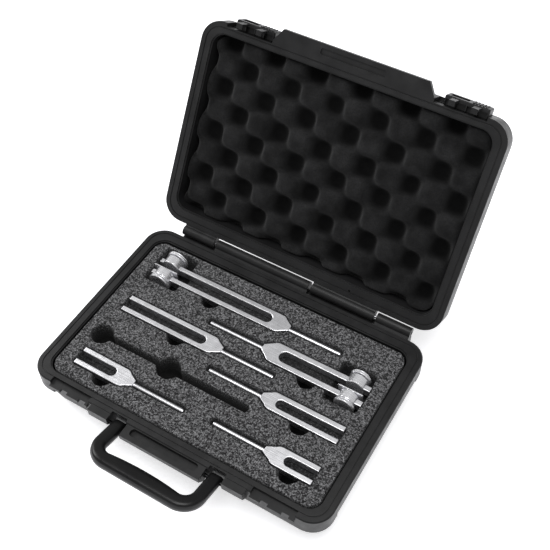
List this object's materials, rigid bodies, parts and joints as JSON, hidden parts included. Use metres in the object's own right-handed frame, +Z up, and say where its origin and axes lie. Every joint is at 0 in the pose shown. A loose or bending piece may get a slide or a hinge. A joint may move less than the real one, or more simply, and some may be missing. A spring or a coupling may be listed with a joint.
{
  "type": "tuning fork set in hinged case",
  "caption": "Hinged carrying case with fold-out handle, sliding latches and a cut foam insert that holds plain and weighted aluminium tuning forks under an egg-crate lined lid.",
  "frame": {"origin": "centre of the base's underside", "axes": "+X along the hinge line, +Y from the handle to the hinge, +Z up; the lid is drawn open at its stop"},
  "size_m": [0.331, 0.4118, 0.2652],
  "materials": {
    "shell": "fine-grained charcoal moulding",
    "latch": "fine-grained charcoal moulding",
    "handle": "satin charcoal moulding",
    "foam": "speckled open-cell foam",
    "lid_foam": "soft black convoluted foam",
    "aluminium": "satin, lightly brushed",
    "polished": "turned and polished",
    "steel": "drawn wire"
  },
  "bodies": {
    "case_base": {"base_shell": "shell", "foam_insert": "foam", "hinge_pin_left": "steel", "hinge_pin_right": "steel", "handle_pin_left": "steel", "handle_pin_right": "steel"},
    "lid": {"lid_shell": "shell", "lid_foam": "lid_foam"},
    "latch_left": {"latch_left": "latch"},
    "latch_right": {"latch_right": "latch"},
    "handle": {"handle": "handle"},
    "weighted_fork_long": {"weighted_fork_long": "aluminium"},
    "weight_long_back": {"weight_long_back": "polished"},
    "thumbscrew_long_back": {"thumbscrew_long_back": "polished"},
    "weight_long_front": {"weight_long_front": "polished", "plate_long": "polished"},
    "thumbscrew_long_front": {"thumbscrew_long_front": "polished"},
    "plain_fork_long": {"plain_fork_long": "aluminium"},
    "weighted_fork_short": {"weighted_fork_short": "aluminium"},
    "weight_short_back": {"weight_short_back": "polished"},
    "thumbscrew_short_back": {"thumbscrew_short_back": "polished"},
    "weight_short_front": {"weight_short_front": "polished", "plate_short": "polished"},
    "thumbscrew_short_front": {"thumbscrew_short_front": "polished"},
    "plain_fork_medium": {"plain_fork_medium": "aluminium"},
    "plain_fork_short": {"plain_fork_short": "aluminium"},
    "plain_fork_tiny": {"plain_fork_tiny": "aluminium"}
  },
  "joints": [
    {"name": "lid_hinge", "type": "hinge", "parent": "case_base", "child": "lid", "pos_m": [0, 0.118, 0.0555], "axis": [-1, 0, 0], "range_deg": [-120, 0]},
    {"name": "handle_hinge", "type": "hinge", "parent": "case_base", "child": "handle", "pos_m": [0, -0.1135, 0.044], "axis": [1, 0, 0], "range_deg": [0, 78]},
    {"name": "latch_left_slide", "type": "slide", "parent": "lid", "child": "latch_left", "axis": [-1, 0, 0], "range_m": [0, 0.0075]},
    {"name": "latch_right_slide", "type": "slide", "parent": "lid", "child": "latch_right", "axis": [-1, 0, 0], "range_m": [0, 0.0075]},
    {"name": "lift_out_weighted_fork_long", "type": "slide", "parent": "case_base", "child": "weighted_fork_long", "axis": [0, 0, 1], "range_m": [0, 0.12]},
    {"name": "slide_weight_long_back", "type": "slide", "parent": "weighted_fork_long", "child": "weight_long_back", "axis": [1, 0, 0], "range_m": [0, 0.008]},
    {"name": "turn_thumbscrew_long_back", "type": "hinge", "parent": "weight_long_back", "child": "thumbscrew_long_back", "pos_m": [-0.1202, 0.0638, 0.04695], "axis": [0, 1, 0], "continuous": true},
    {"name": "slide_weight_long_front", "type": "slide", "parent": "weighted_fork_long", "child": "weight_long_front", "axis": [1, 0, 0], "range_m": [0, 0.008]},
    {"name": "turn_thumbscrew_long_front", "type": "hinge", "parent": "weight_long_front", "child": "thumbscrew_long_front", "pos_m": [-0.1202, 0.0638, 0.04695], "axis": [0, 1, 0], "continuous": true},
    {"name": "lift_out_plain_fork_long", "type": "slide", "parent": "case_base", "child": "plain_fork_long", "axis": [0, 0, 1], "range_m": [0, 0.12]},
    {"name": "lift_out_weighted_fork_short", "type": "slide", "parent": "case_base", "child": "weighted_fork_short", "axis": [0, 0, 1], "range_m": [0, 0.12]},
    {"name": "slide_weight_short_back", "type": "slide", "parent": "weighted_fork_short", "child": "weight_short_back", "axis": [-1, 0, 0], "range_m": [0, 0.008]},
    {"name": "turn_thumbscrew_short_back", "type": "hinge", "parent": "weight_short_back", "child": "thumbscrew_short_back", "pos_m": [0.1196, 0.031, 0.04695], "axis": [0, 1, 0], "continuous": true},
    {"name": "slide_weight_short_front", "type": "slide", "parent": "weighted_fork_short", "child": "weight_short_front", "axis": [-1, 0, 0], "range_m": [0, 0.008]},
    {"name": "turn_thumbscrew_short_front", "type": "hinge", "parent": "weight_short_front", "child": "thumbscrew_short_front", "pos_m": [0.1196, 0.031, 0.04695], "axis": [0, 1, 0], "continuous": true},
    {"name": "lift_out_plain_fork_medium", "type": "slide", "parent": "case_base", "child": "plain_fork_medium", "axis": [0, 0, 1], "range_m": [0, 0.12]},
    {"name": "lift_out_plain_fork_short", "type": "slide", "parent": "case_base", "child": "plain_fork_short", "axis": [0, 0, 1], "range_m": [0, 0.12]},
    {"name": "lift_out_plain_fork_tiny", "type": "slide", "parent": "case_base", "child": "plain_fork_tiny", "axis": [0, 0, 1], "range_m": [0, 0.12]}
  ]
}
